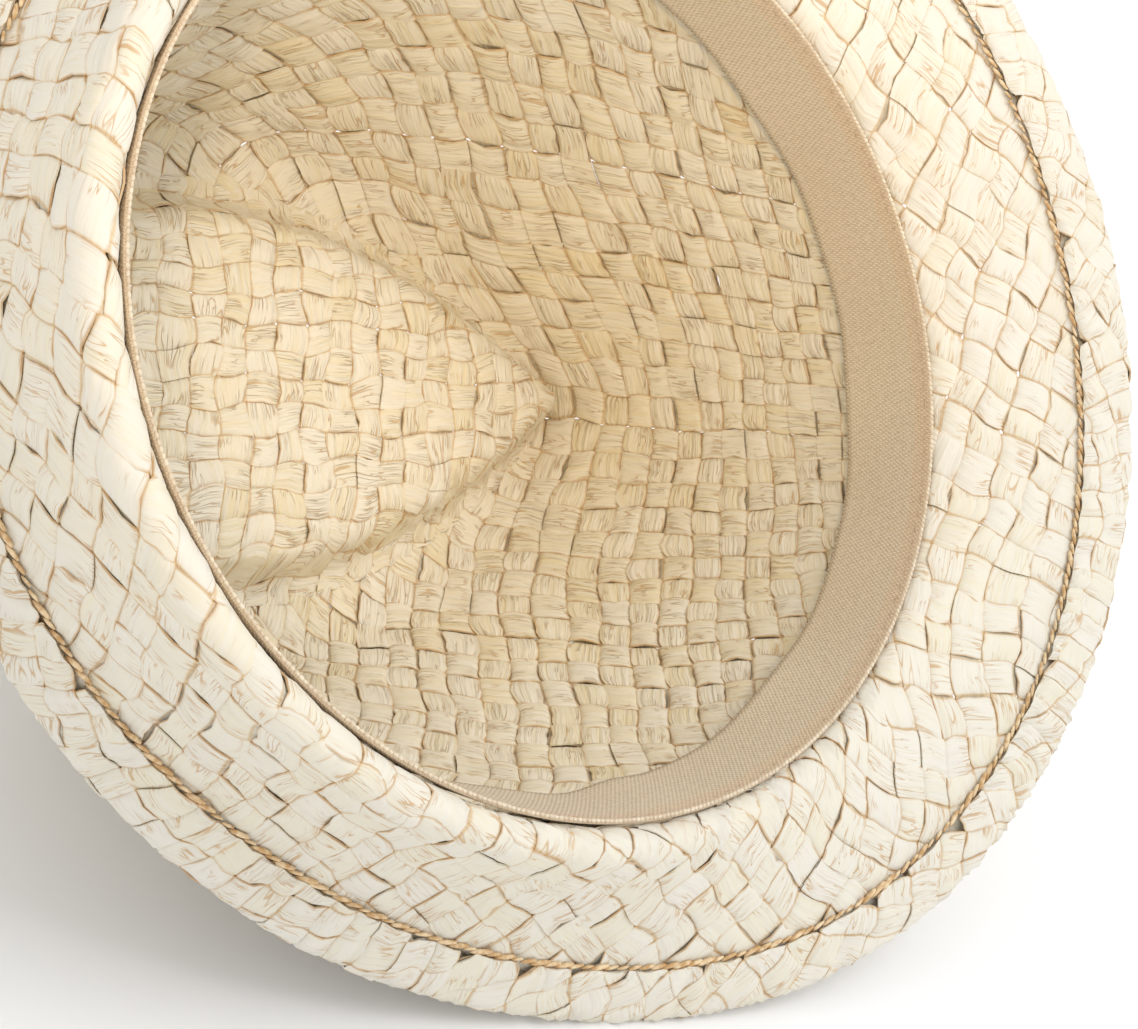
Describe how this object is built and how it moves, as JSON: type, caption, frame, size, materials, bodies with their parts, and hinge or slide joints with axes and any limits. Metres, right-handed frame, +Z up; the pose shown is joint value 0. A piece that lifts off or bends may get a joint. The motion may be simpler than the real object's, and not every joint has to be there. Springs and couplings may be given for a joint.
{
  "type": "woven straw trilby",
  "caption": "Woven straw trilby lying on its left side, with a teardrop crown, a short brim turned up at the back, a sewn hem and a cotton sweatband.",
  "frame": {"origin": "on the surface that the hat lies on, under the middle of its box", "axes": "+Z up from that surface, the hat's front to +X, its opening to -Y and a little upwards, its crown to +Y"},
  "size_m": [0.2488, 0.2116, 0.1921],
  "materials": {
    "straw": "matt plaited paper straw, natural cream",
    "hem_straw": "matt plaited paper straw, folded and sewn",
    "cotton": "plain woven beige cotton tape"
  },
  "bodies": {
    "root": {"crown": "straw", "brim": "straw", "brim_hem": "hem_straw", "sweatband": "cotton"}
  },
  "joints": []
}
